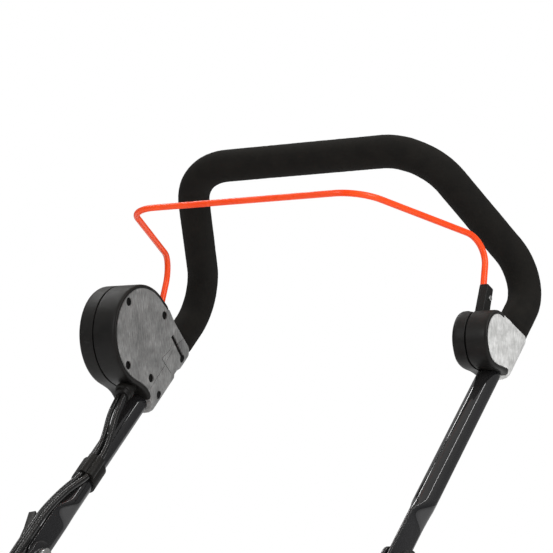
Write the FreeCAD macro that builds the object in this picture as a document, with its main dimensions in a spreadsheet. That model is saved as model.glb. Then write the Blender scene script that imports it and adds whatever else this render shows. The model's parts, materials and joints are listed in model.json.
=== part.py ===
import FreeCAD, Part
import math
import operator
import os
from types import SimpleNamespace

import Sketcher
from FreeCAD import Placement, Rotation, Vector

# Walk-behind electric lawn mower with a folding tubular handle and a dead-man's bail.
# Frame: +X to the operator's right, +Y forward, +Z up, origin on the ground below the blade spindle.
# Handle parts are drawn in the handle frame: origin at the foot bolts, +Z up the tube, +Y square to it.

doc = FreeCAD.newDocument("lawn_mower")
sheet = doc.addObject("Spreadsheet::Sheet", "Sizes")

DRIVING = {
    # handle frame and tubes
    "handle_lean": 48.1, "foot_setback": 236, "foot_height": 200, "lower_reach": 588, "handle_width": 405,
    "tube_od": 22, "tube_wall": 1.5, "flat_thick": 6, "flat_wide": 29, "flat_run": 76, "neck_run": 24,
    "face_gap": 0.1, "foot_pitch": 28, "upper_reach": 415, "bend_radius": 45, "grip_corner_in": 62.5,
    "grip_corner_y": 180.6, "grip_drop": 10.3, "grip_radius": 67, "foam_od": 34, "foam_fit": 0.15,
    "foam_gap": 0.5,
    # switch box on the right tube, pivot box on the left tube
    "shell_wall": 2, "plate_thick": 2, "plate_fit": 0.15, "plate_margin": 3.4, "seat_fit": 0.15,
    "back_wall": 7.5, "pivot_y": 33, "pivot_z": 280, "screw_head": 8.4, "screw_shank": 3.6,
    "switch_y": 61, "switch_z": 272, "switch_r": 52, "switch_in": 18, "switch_out": 29.5,
    "switch_top": 331, "switch_low": 236, "switch_neck_y": 14,
    "small_r": 30, "small_in": 20, "small_out": 18, "small_top": 326, "small_low": 262,
    "button_r": 11, "button_travel": 3, "button_y": 78, "button_z": 250, "button_fit": 0.3,
    "inlet_r": 15, "inlet_deep": 12, "inlet_y": 75, "inlet_z": 296, "inlet_wall": 2, "pin_pitch": 12,
    "gland_od": 17, "gland_in": 3.5, "gland_y": 27, "gland_low": 213, "gland_long": 23,
    # bail
    "bail_od": 7.5, "bail_top_in": 69.5, "bail_top_y": 217, "bail_top_z": 279, "bail_lean_in": 2.6,
    "bail_bend_y": 85.6, "bail_bend_z": 372.6, "bail_side_gap": 0.8, "bail_left_in": 6.5,
    "bail_bend_r": 26, "bail_top_r": 40, "bail_foot_r": 9, "bracket_thick": 13, "pin_od": 6, "pin_fit": 0.05,
    "swing_gap": 1.2,
    # fold joint hardware
    "bolt_od": 8, "bolt_head": 14, "washer_od": 17, "washer_thick": 2, "cam_r": 9, "cam_wide": 15,
    "cam_pin_od": 5, "cam_arm": 54,
    # deck, wheels and axles
    "deck_half": 184, "deck_front": 232, "deck_rear": 250, "deck_low": 40, "deck_top": 150, "deck_wall": 3.5,
    "deck_front_r": 105, "deck_rear_r": 30, "deck_round": 16, "chute_half": 100, "chute_low": 98,
    "chute_high": 132, "front_axle_y": 190, "rear_axle_y": 205, "front_wheel_r": 70, "rear_wheel_r": 85,
    "wheel_gap": 17, "foot_gap": 7, "wheel_wide": 38, "axle_od": 12, "rim_wall": 3, "tyre_deep": 14,
    "hub_od": 32,
    "bracket_plate": 4, "bracket_foot": 37, "screw_od": 6, "screw_fit": 0.05,
    # hood, motor and blade
    "hood_half": 122, "hood_front": 150, "hood_rear": 165, "hood_high": 112, "hood_wall": 3,
    "hood_corner": 70, "hood_draft": 12, "hood_round": 24, "hood_gland_x": 90, "hood_gland_r": 10,
    "vent_wide": 7, "vent_high": 34, "vent_pitch": 15, "motor_od": 108, "motor_high": 76, "motor_bolts": 40,
    "spindle_od": 14, "spindle_gap": 3, "spindle_fit": 0.05, "blade_reach": 160, "blade_wide": 46,
    "blade_thick": 3, "blade_z": 54, "lift_long": 44, "lift_wide": 6, "lift_high": 12,
    # cables
    "lead_od": 6.6, "wire_od": 5.6, "lead_gap": 1.2, "clip_wall": 2.5, "clip_long": 26, "clip_z": 106,
    "low_clip_z": 280,
}


class Size:
    """A length or angle from the sheet: its formula and its present value."""

    def __init__(self, formula, value):
        self.formula = formula
        self.value = value

    def __add__(self, other):
        return joined(self, "+", other)

    def __radd__(self, other):
        return joined(other, "+", self)

    def __sub__(self, other):
        return joined(self, "-", other)

    def __rsub__(self, other):
        return joined(other, "-", self)

    def __mul__(self, other):
        return joined(self, "*", other)

    def __rmul__(self, other):
        return joined(other, "*", self)

    def __truediv__(self, other):
        return joined(self, "/", other)

    def __neg__(self):
        return joined(0, "-", self)


OPERATIONS = {"+": operator.add, "-": operator.sub, "*": operator.mul, "/": operator.truediv}


def sized(item):
    return item if isinstance(item, Size) else Size("(%s)" % item, float(item))


def joined(first, sign, second):
    first, second = sized(first), sized(second)
    value = OPERATIONS[sign](first.value, second.value)
    return Size("(%s%s%s)" % (first.formula, sign, second.formula), value)


def least(first, second):
    first, second = sized(first), sized(second)
    return Size("min(%s; %s)" % (first.formula, second.formula), min(first.value, second.value))


def most(first, second):
    return -least(-sized(first), -sized(second))


for row, (alias, number) in enumerate(DRIVING.items(), start=1):
    sheet.set("A%d" % row, alias)
    sheet.set("B%d" % row, str(number))
    sheet.setAlias("B%d" % row, alias)
doc.recompute()
d = SimpleNamespace(**{alias: Size("Sizes." + alias, float(sheet.get(alias))) for alias in DRIVING})


# Small helpers: every size given to them is bound to the sheet.

TURNED = {"x": Rotation(Vector(0, 1, 0), 90), "y": Rotation(Vector(1, 0, 0), -90), "z": Rotation()}
PLACES = ("Placement.Base.x", "Placement.Base.y", "Placement.Base.z")
MADE = []


def bind(item, names, sizes):
    for name, size in zip(names, sizes):
        item.setExpression(name, sized(size).formula)
    return item


def box(at, size):
    """A box from its low corner."""
    return bind(doc.addObject("Part::Box", "Box"), ("Length", "Width", "Height") + PLACES, (*size, *at))


def rod(at, axis, radius, length):
    """A cylinder from the centre of its low end, along an axis."""
    made = doc.addObject("Part::Cylinder", "Rod")
    made.Placement = Placement(Vector(), TURNED[axis])
    return bind(made, ("Radius", "Height") + PLACES, (radius, length, *at))


def cone(at, axis, low_radius, high_radius, length):
    made = doc.addObject("Part::Cone", "Cone")
    made.Placement = Placement(Vector(), TURNED[axis])
    return bind(made, ("Radius1", "Radius2", "Height") + PLACES, (low_radius, high_radius, length, *at))


def cut(base, *tools):
    made = doc.addObject("Part::Cut", "Cut")
    made.Base = base
    made.Tool = tools[0] if len(tools) == 1 else fuse(*tools)
    return made


def fuse(*pieces):
    """One solid of pieces that meet, or a group of separate ones."""
    made = doc.addObject("Part::MultiFuse", "Fuse")
    made.Shapes = list(pieces)
    made.Refine = True
    return made


def outline(sketch, corners):
    """A closed loop through (x, y, radius) corners; the radius bends the edge that leaves the corner,
    positive to the left of the way round and None for a straight edge."""
    count = len(corners)
    here = [Vector(sized(x).value, sized(y).value, 0) for x, y, _ in corners]
    for index, (_, _, radius) in enumerate(corners):
        first, last = here[index], here[(index + 1) % count]
        if radius is None:
            sketch.addGeometry(Part.LineSegment(first, last), False)
            continue
        bend = sized(radius).value
        chord = last - first
        side = Vector(chord.y, -chord.x, 0).normalize() * math.copysign(1, bend)
        rise = abs(bend) - math.sqrt(bend * bend - chord.Length ** 2 / 4)
        middle = (first + last) / 2 + side * rise
        sketch.addGeometry(Part.Arc(first, middle, last), False)
    for index, (x, y, radius) in enumerate(corners):
        after = (index + 1) % count
        straight = radius is None
        turned = not straight and sized(radius).value > 0
        ahead = corners[after][2] is not None and sized(corners[after][2]).value < 0
        leave = 2 if straight or turned else 1
        enter = 2 if ahead else 1
        sketch.addConstraint(Sketcher.Constraint("Coincident", index, leave, after, enter))
        begin = 1 if straight or turned else 2
        for kind, place in (("DistanceX", x), ("DistanceY", y)):
            place = sized(place)
            link = Sketcher.Constraint(kind, -1, 1, index, begin, place.value)
            sketch.setExpression("Constraints[%d]" % sketch.addConstraint(link), place.formula)
        if not straight:
            bend = sized(radius)
            link = Sketcher.Constraint("Radius", index, abs(bend.value))
            formula = "abs(%s)" % bend.formula
            sketch.setExpression("Constraints[%d]" % sketch.addConstraint(link), formula)


AWAY = {"XY": "z", "XZ": "y", "YZ": "x"}


def slab(plane, corners, low, high, taper=None, rounded=None):
    """A body padded square to an origin plane, from low to high on the third axis."""
    body = doc.addObject("PartDesign::Body", "Slab")
    sketch = body.newObject("Sketcher::SketchObject", "Outline")
    face = [item for item in body.Origin.OriginFeatures if item.Role == plane + "_Plane"][0]
    sketch.AttachmentSupport = [(face, "")]
    sketch.MapMode = "FlatFace"
    outline(sketch, corners)
    pad = body.newObject("PartDesign::Pad", "Pad")
    pad.Profile = sketch
    pad.Reversed = plane == "XZ"
    bind(pad, ["Length"], [sized(high) - low])
    if taper is not None:
        bind(pad, ["TaperAngle"], [-taper])
    doc.recompute()
    if rounded is not None:
        fillet = body.newObject("PartDesign::Fillet", "Rounded")
        top = max(vertex.Z for vertex in pad.Shape.Vertexes)
        edges = [index for index, edge in enumerate(pad.Shape.Edges, start=1)
                 if min(vertex.Z for vertex in edge.Vertexes) > top - 0.01]
        fillet.Base = (pad, ["Edge%d" % index for index in edges])
        bind(fillet, ["Radius"], [rounded])
    bind(body, ["Placement.Base." + AWAY[plane]], [low])
    return body


def bent_wire(points, radii):
    """Straight runs through points joined by tangent arcs, with one radius for each inner point."""
    places = [Vector(*[sized(item).value for item in point]) for point in points]
    edges, start = [], places[0]
    for index in range(1, len(places) - 1):
        corner = places[index]
        back = (places[index - 1] - corner).normalize()
        ahead = (places[index + 1] - corner).normalize()
        turn = math.pi - back.getAngle(ahead)
        reach = radii[index - 1] * math.tan(turn / 2)
        middle = corner + (back + ahead).normalize() * radii[index - 1] * (1 / math.cos(turn / 2) - 1)
        edges.append(Part.LineSegment(start, corner + back * reach).toShape())
        edges.append(Part.Arc(corner + back * reach, middle, corner + ahead * reach).toShape())
        start = corner + ahead * reach
    edges.append(Part.LineSegment(start, places[-1]).toShape())
    return Part.Wire(edges)


def cord_radii(points):
    """The largest tangent arcs that a cord's runs allow."""
    places = [Vector(*[sized(item).value for item in point]) for point in points]
    radii = []
    for before, corner, after in zip(places, places[1:], places[2:]):
        turn = (corner - before).getAngle(after - corner)
        shorter = min((corner - before).Length, (after - corner).Length)
        radii.append(0.45 * shorter / math.tan(turn / 2))
    return radii


def tube(points, radii, radius):
    """A round bar or cord along a bent wire."""
    path = doc.addObject("Part::Feature", "Path")
    path.Shape = bent_wire(points, radii)
    ring = doc.addObject("Part::Circle", "Ring")
    bind(ring, ["Radius"], [radius])
    begin, after = [vertex.Point for vertex in path.Shape.OrderedVertexes[:2]]
    ring.Placement = Placement(begin, Rotation(Vector(0, 0, 1), after - begin))
    made = doc.addObject("Part::Sweep", "Tube")
    made.Sections = [ring]
    made.Spine = (path, ["Edge%d" % number for number in range(1, len(path.Shape.Edges) + 1)])
    made.Solid = True
    made.Frenet = False
    doc.recompute()
    full = math.pi * sized(radius).value ** 2 * path.Shape.Length
    if abs(made.Shape.Volume / full - 1) > 0.02:
        raise SystemExit("a bent tube lost volume: %.0f of %.0f" % (made.Shape.Volume, full))
    return made


def in_place(item):
    """Turns a piece of the handle frame into the mower's frame."""
    item.Placement = Placement(Vector(), Rotation(Vector(1, 0, 0), 1))
    bind(item, PLACES[1:], [-d.foot_setback, d.foot_height])
    item.setExpression("Placement.Rotation.Angle", d.handle_lean.formula + "*1deg")
    return item


def keep(name, item, in_handle=False):
    """Names a finished piece; a piece drawn in the handle frame is placed at the foot bolts."""
    if in_handle:
        held = doc.addObject("Part::Compound", "Held")
        held.Links = [item]
        item = in_place(held)
    item.Label = name
    MADE.append(item)
    return item


# Handle tubes

HALF = d.handle_width / 2
FOLD = d.lower_reach
TUBE_R = d.tube_od / 2
INNER_X = HALF - d.flat_thick - d.face_gap
SCREW_R = d.screw_od / 2


def up(size):
    """A height in the handle frame measured up from the fold joint."""
    return FOLD + size


def flat_end(x, bolt_z, way):
    """The pressed end of a tube: a flat tongue round a bolt, necking to the round tube."""
    round_z = bolt_z + way * d.flat_run
    neck_z = round_z - way * d.neck_run
    half = d.flat_wide / 2
    low, high = (bolt_z, neck_z) if way > 0 else (neck_z, bolt_z)
    tongue = box((x - d.flat_thick / 2, -half, low), (d.flat_thick, d.flat_wide, high - low))
    nose = rod((x - d.flat_thick / 2, 0, bolt_z), "x", half, d.flat_thick)
    oval = doc.addObject("Part::Ellipse", "Oval")
    oval.Placement = Placement(Vector(), Rotation(Vector(0, 0, 1), 90))
    bind(oval, ("MajorRadius", "MinorRadius") + PLACES, (half, d.flat_thick / 2, x, 0, neck_z))
    ring = doc.addObject("Part::Circle", "Ring")
    ring.Placement = Placement(Vector(), Rotation(Vector(0, 0, 1), 90))
    bind(ring, ("Radius",) + PLACES, (TUBE_R, x, 0, round_z))
    neck = doc.addObject("Part::Loft", "Neck")
    neck.Sections = [oval, ring]
    neck.Solid = True
    return [tongue, nose, neck]


GRIP_ARCS = [d.bend_radius.value, d.grip_radius.value, d.grip_radius.value, d.bend_radius.value]


def grip_route(left_low, right_low):
    """Up the left tube, across the grip and down the right tube."""
    top, corner_z = up(d.upper_reach), up(d.upper_reach - d.grip_drop)
    corner_x = HALF - d.grip_corner_in
    return [(-HALF, 0, left_low), (-HALF, 0, top), (-corner_x, d.grip_corner_y, corner_z),
            (corner_x, d.grip_corner_y, corner_z), (HALF, 0, top), (HALF, 0, right_low)]


BOX_SCREWS = {
    # screws in the switch box's inner face: (y, height above the fold joint)
    "long": [(105.5, 273.5), (56, 228.5), (19, 252)],
    "short": [(53.5, 316.5)],
    "clamp": [(-4.5, 252), (-3.5, 312.5)],
}


def tubes():
    starts = [up(d.flat_run), up(d.flat_run)]
    solid = tube(grip_route(*starts), GRIP_ARCS, TUBE_R)
    hollow = tube(grip_route(*starts), GRIP_ARCS, TUBE_R - d.tube_wall)
    ends = [piece for side in (-1, 1) for piece in flat_end(side * HALF, FOLD, 1)]
    holes = [rod((side * HALF - TUBE_R, 0, FOLD), "x", d.bolt_od / 2 + d.pin_fit, d.tube_od)
             for side in (-1, 1)]
    clamps = [rod((HALF - TUBE_R - 1, y, up(z)), "x", d.screw_shank / 2 + 0.2, TUBE_R)
              for y, z in BOX_SCREWS["clamp"]]
    keep("upper_handle_tube", cut(fuse(solid, *ends), hollow, *holes, *clamps), True)
    foam_path = grip_route(up(d.small_top + d.foam_gap), up(d.switch_top + d.foam_gap))
    foam = cut(tube(foam_path, GRIP_ARCS, d.foam_od / 2), tube(foam_path, GRIP_ARCS, TUBE_R + d.foam_fit))
    keep("foam_grip", foam, True)
    for side, word in ((-1, "left"), (1, "right")):
        x = side * INNER_X
        low, high = d.flat_run, FOLD - d.flat_run
        shaft = cut(rod((x, 0, low), "z", TUBE_R, high - low),
                    rod((x, 0, low), "z", TUBE_R - d.tube_wall, high - low))
        holes = [rod((x - TUBE_R, 0, z), "x", d.bolt_od / 2, d.tube_od) for z in (0, d.foot_pitch, FOLD)]
        pieces = flat_end(x, sized(0), 1) + flat_end(x, FOLD, -1)
        keep("lower_handle_" + word, cut(fuse(shaft, *pieces), *holes), True)


# Clamshell boxes

PIVOT = (d.pivot_y, up(d.pivot_z))
SEAM = HALF + TUBE_R + 0.05
RECESS = d.plate_thick + d.plate_fit
BOX_BACK = TUBE_R + d.back_wall


def on_ring(centre, radius, across, along):
    return (centre[0] + radius * across, centre[1] + radius * along)


def switch_outline(inset):
    """Drum with a tail that wraps the tube; counterclockwise in (y, z)."""
    centre, radius = (d.switch_y, up(d.switch_z)), d.switch_r - inset
    back, low, top = -BOX_BACK + inset, up(d.switch_low) + inset, up(d.switch_top) - inset
    return [(back, low, None), (d.switch_neck_y, low + 4.5, None),
            (*on_ring(centre, radius, -0.33, -0.944), radius), (centre[0], centre[1] - radius, radius),
            (centre[0] + radius, centre[1], radius), (centre[0], centre[1] + radius, None), (back, top, None)]


def small_outline(inset):
    """Smaller drum whose upper side runs straight to the tail."""
    centre, radius = PIVOT, d.small_r - inset
    back, low, top = -BOX_BACK + inset, up(d.small_low) + inset, up(d.small_top) - inset
    meet = centre[0] + (radius - (top - centre[1]) * 0.888) / 0.46
    return [(back, low, None), (*on_ring(centre, radius, -0.5, -0.866), radius),
            (centre[0], centre[1] - radius, radius), (centre[0] + radius, centre[1], radius),
            (*on_ring(centre, radius, 0.46, 0.888), None), (meet, top, None), (back, top, None)]


def layer(side, shape, near, far):
    """A slab between two distances from the mower's middle plane."""
    return slab("YZ", shape, near, far) if side > 0 else slab("YZ", shape, -far, -near)


def across(side, spot, radius, near, far):
    """A rod across the handle between two distances from the middle plane."""
    return rod((near if side > 0 else -far, spot[0], spot[1]), "x", radius, far - near)


def block(side, near, far, y_low, y_high, z_low, z_high):
    return box((near if side > 0 else -far, y_low, z_low), (far - near, y_high - y_low, z_high - z_low))


BOX_SCREW_PIECES = []


def clamshell(name, side, shape, inner, outer, spots, cuts_inner, cuts_outer, cuts_plate):
    """Two half shells round a tube, a face plate let into each side, and the screws."""
    rim, cap = HALF - inner, HALF + outer
    floor, roof = rim + RECESS, cap - RECESS
    head, shank = d.screw_head / 2, d.screw_shank / 2
    ends = {"long": roof - 0.5, "short": floor + d.shell_wall, "clamp": HALF - TUBE_R + 1}
    tube_way = rod((side * HALF, 0, FOLD), "z", TUBE_R + d.seat_fit, d.upper_reach)
    seam_way = block(side, HALF, SEAM + 1, -TUBE_R - d.seat_fit, TUBE_R + d.seat_fit, FOLD, up(d.upper_reach))
    posts_in = [across(side, (y, up(z)), shank + 2.4, floor, SEAM) for y, z in spots["long"]]
    posts_out = [across(side, (y, up(z)), shank + 2.4, SEAM, roof) for y, z in spots["long"]]
    bores = [across(side, (y, up(z)), shank + 0.05, rim, end) for kind, end in ends.items()
             for y, z in spots[kind]]
    wells = [across(side, (y, up(z)), head + 0.5, rim, floor) for kind in ends for y, z in spots[kind]]
    inside = layer(side, shape(d.shell_wall), floor + d.shell_wall, SEAM)
    shell = fuse(cut(layer(side, shape(0), rim, SEAM), inside), *posts_in)
    shell = cut(shell, layer(side, shape(d.plate_margin), rim, floor), tube_way, seam_way, *wells, *bores,
                *cuts_inner)
    keep(name + "_inner_shell", shell, True)
    inside = layer(side, shape(d.shell_wall), SEAM, roof - d.shell_wall)
    shell = fuse(cut(layer(side, shape(0), SEAM, cap), inside), *posts_out)
    bores = [across(side, (y, up(z)), shank + 0.05, SEAM, ends["long"]) for y, z in spots["long"]]
    shell = cut(shell, layer(side, shape(d.plate_margin), roof, cap), *bores, *cuts_outer)
    keep(name + "_outer_shell", shell, True)
    if name == "switch_box":
        plate = layer(side, shape(d.plate_margin + d.plate_fit), floor - d.plate_thick, floor)
        keep(name + "_inner_plate", cut(plate, *wells), True)
    plate = layer(side, shape(d.plate_margin + d.plate_fit), roof, roof + d.plate_thick)
    keep(name + "_outer_plate", cut(plate, *cuts_plate) if cuts_plate else plate, True)
    for kind, end in ends.items():
        for y, z in spots[kind]:
            top = across(side, (y, up(z)), head, floor - 1.5, floor)
            dent = block(side, floor - 1.6, floor - 0.7, y - 2.6, y + 2.6, up(z) - 0.5, up(z) + 0.5)
            BOX_SCREW_PIECES.append(fuse(cut(top, dent), across(side, (y, up(z)), shank, floor, end - 0.5)))


def group(pieces):
    made = doc.addObject("Part::Compound", "Group")
    made.Links = pieces
    return made


BUTTON_SPOT = (d.button_y, up(d.button_z))
INLET_SPOT = (d.inlet_y, up(d.inlet_z))
BAIL_RIGHT_X = HALF - d.switch_in + RECESS + d.shell_wall + d.bail_side_gap + d.bail_od / 2
BAIL_BEND_X = BAIL_RIGHT_X - d.bail_lean_in
GLAND_X = HALF - d.gland_in
GLAND_Y = d.gland_y
GLAND_FACE = up(d.gland_low)
LEVER_HUB_R = 9
LEVER_THICK = 8


def switch_box():
    cap = HALF + d.switch_out
    roof = cap - RECESS
    lid = roof - d.shell_wall
    y, z = PIVOT
    reach = d.bail_od / 2 + d.swing_gap
    slot = block(1, BAIL_BEND_X - reach, BAIL_RIGHT_X + reach, y - 11, y + 41, z + 22, z + 65)
    mouth = rod((GLAND_X, GLAND_Y, GLAND_FACE), "z", d.gland_od / 2 + 0.05, d.gland_long)
    button_way = across(1, BUTTON_SPOT, d.button_r + d.button_fit, roof - 4, cap + 1)
    cup_r = d.inlet_r + d.inlet_wall
    inlet_way = across(1, INLET_SPOT, cup_r + 0.1, roof - 4, cap + 1)
    axle_way = across(1, PIVOT, d.bail_od / 2 + d.pin_fit, roof - 4, roof - 0.6)
    clamshell("switch_box", 1, switch_outline, d.switch_in, d.switch_out, BOX_SCREWS, [slot, mouth],
              [button_way, inlet_way, axle_way], [button_way, inlet_way])
    hold = fuse(across(1, BUTTON_SPOT, d.button_r, roof - 6, cap + d.button_travel + 0.5),
                across(1, BUTTON_SPOT, d.button_r + 2, roof - 6, lid - 0.2))
    keep("start_button", hold, True)
    button_y, button_z = BUTTON_SPOT
    seat = block(1, roof - 20, roof - 10, button_y - 7, button_y + 7, button_z - 6, button_z + 6)
    floor = roof - d.inlet_deep
    cup = cut(fuse(across(1, INLET_SPOT, cup_r, floor, cap - 0.3),
                   across(1, INLET_SPOT, cup_r + 3, lid - 2, lid - 0.05)),
              across(1, INLET_SPOT, d.inlet_r, floor + d.inlet_wall, cap))
    keep("power_inlet", cup, True)
    inlet_y, inlet_z = INLET_SPOT
    pins = [across(1, (inlet_y + side * d.pin_pitch / 2, inlet_z), 2, floor + d.inlet_wall, cap - 2)
            for side in (-1, 1)]
    keep("inlet_pins", group(pins), True)
    contact = block(1, HALF, HALF + 10, y + 11, y + 31, z + 23, z + 33)
    keep("micro_switches", group([seat, contact]), True)
    hub = fuse(across(1, PIVOT, LEVER_HUB_R, HALF, HALF + LEVER_THICK),
               block(1, HALF, HALF + LEVER_THICK, y, y + 28, z - 4, z + 4))
    bore = across(1, PIVOT, d.bail_od / 2, HALF - 1, HALF + LEVER_THICK + 1)
    keep("switch_lever", cut(hub, bore), True)
    body = fuse(rod((GLAND_X, GLAND_Y, GLAND_FACE), "z", d.gland_od / 2, d.gland_long),
                rod((GLAND_X, GLAND_Y, GLAND_FACE + 5), "z", d.gland_od / 2 + 1.5, 6))
    keep("cable_gland", body, True)


SMALL_SCREWS = {"long": [(50, 264), (-TUBE_R - 3.5, 268)], "short": [], "clamp": []}


def pivot_box():
    rim = HALF - d.small_in
    roof = HALF + d.small_out - RECESS
    middle, half = HALF - d.bail_left_in, d.bracket_thick / 2
    near, far = middle - half, middle + half
    y, z = PIVOT
    slot = block(-1, near - d.swing_gap, far + d.swing_gap, y - 19, y + 33, z + 9, z + 65)
    pin_way = across(-1, PIVOT, d.pin_od / 2, rim, roof)
    clamshell("pivot_box", -1, small_outline, d.small_in, d.small_out, SMALL_SCREWS, [slot, pin_way],
              [pin_way], [])
    keep("bail_pin", across(-1, PIVOT, d.pin_od / 2, rim + RECESS, roof), True)
    blank = slab("YZ", [(y - 6, z + 6, None), (y + 10, z - 4, None), (y + 20, z + 14, None),
                        (y + 27.7, z + 45.7, None), (y + 17, z + 60, None), (y + 13, z + 50, None)],
                 -far, -near)
    hub = across(-1, PIVOT, 11, near, far)
    bore = across(-1, PIVOT, d.pin_od / 2 + d.pin_fit, near - 1, far + 1)
    spot, shank = (y + 15.5, z + 44), d.screw_shank / 2
    screw_way = across(-1, spot, shank, near + 2, far + 1)
    keep("bail_bracket", cut(fuse(blank, hub), bore, screw_way, bail_tube()), True)
    screw = fuse(across(-1, spot, d.screw_head / 2, far, far + 2), across(-1, spot, shank, near + 2.5, far))
    keep("bracket_screw", screw, True)


# Bail


FOOT_SHARE = 0.26     # how far up the left leg its end is let into the bracket


def bail_tube():
    """From the bracket's socket on the left, round the top bar, to the axle end on the right."""
    y, z = PIVOT
    bend = (d.bail_bend_y, up(d.bail_bend_z))
    foot = (y + (bend[0] - y) * FOOT_SHARE, z + (bend[1] - z) * FOOT_SHARE)
    top = (d.bail_top_y, up(d.bail_top_z))
    top_x = HALF - d.bail_top_in
    points = [(-HALF + d.bail_left_in, *foot), (-BAIL_BEND_X, *bend), (-top_x, *top), (top_x, *top),
              (BAIL_BEND_X, *bend), (BAIL_RIGHT_X, y, z), (HALF + d.switch_out - RECESS - 1, y, z)]
    radii = [d.bail_bend_r.value, d.bail_top_r.value, d.bail_top_r.value, d.bail_bend_r.value,
             d.bail_foot_r.value]
    return tube(points, radii, d.bail_od / 2)


# Fold joint hardware


CAM_ARM = [(-5, 0), (7, -5), (14, 30), (21.5, 54), (14, 56), (6, 34)]
SLOT_FIT = 0.4
SLOT_SWING = 1.8    # room past the bolt's round side for the corners of its end as the lever turns


def cam_lever(side, way):
    """Forked cam on a cross pin, with an arm that lies along the tube when closed."""
    pin_x = HALF + d.flat_thick / 2 + 0.15 + d.washer_thick + d.cam_r
    half, bolt_r = d.cam_wide / 2, d.bolt_od / 2
    arm = CAM_ARM if side * way > 0 else CAM_ARM[::-1]
    corners = [(side * (pin_x + x), FOLD + way * z * d.cam_arm / CAM_ARM[3][1], None) for x, z in arm]
    body = fuse(rod((side * pin_x, -half, FOLD), "y", d.cam_r, d.cam_wide), slab("XZ", corners, -half, half))
    reach, fit, swing = d.cam_r + 1, bolt_r + SLOT_FIT, bolt_r + SLOT_SWING
    low, high = (reach, swing) if way > 0 else (swing, reach)
    slot = block(side, pin_x - reach, pin_x + swing, -fit, fit, FOLD - low, FOLD + high)
    pin_way = rod((side * pin_x, -half - 1, FOLD), "y", d.cam_pin_od / 2 + d.pin_fit, d.cam_wide + 2)
    keep("cam_lever_" + ("right" if side > 0 else "left"), cut(body, slot, pin_way), True)
    pin = rod((side * pin_x, -half - 0.5, FOLD), "y", d.cam_pin_od / 2, d.cam_wide + 1)
    inner = INNER_X - d.flat_thick / 2
    bolt = fuse(across(side, (0, FOLD), bolt_r, inner - 1, pin_x + d.cam_pin_od / 2 + 1),
                across(side, (0, FOLD), d.bolt_head / 2, inner - 6, inner))
    bolt = cut(bolt, rod((side * pin_x, -half, FOLD), "y", d.cam_pin_od / 2, d.cam_wide))
    face = HALF + d.flat_thick / 2 + d.face_gap
    washer = cut(across(side, (0, FOLD), d.washer_od / 2, face, face + d.washer_thick),
                 across(side, (0, FOLD), bolt_r, face - 1, face + d.washer_thick + 1))
    return bolt, pin, washer


def fold_joint():
    bolts, pins, washers = zip(*[cam_lever(side, side) for side in (-1, 1)])
    keep("fold_bolts", group([*bolts, *pins, *washers]), True)


# Cables down the right tube


def in_handle_frame(x, y, z):
    """A place on the deck or hood, written in the handle frame."""
    lean = math.radians(d.handle_lean.value)
    ahead, rise = y + d.foot_setback.value, z - d.foot_height.value
    return (x, ahead * math.cos(lean) + rise * math.sin(lean), rise * math.cos(lean) - ahead * math.sin(lean))


HOOD_GLAND_Z = d.deck_top + 52
HOOD_GLAND_Y = -d.hood_rear - 20
FOLD_GAP = 6     # the leads part this far short of where the lower tube's neck begins
LEAD_HIGH = [(-TUBE_R - 0.6, TUBE_R - 2), (-TUBE_R + 5.3, TUBE_R + 2.1)]     # both leads in the upper clip
LEAD_LOW = [(-3.4, TUBE_R + 3.4), (3.2, TUBE_R + 2.8)]                       # both leads in the lower clip


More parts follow.
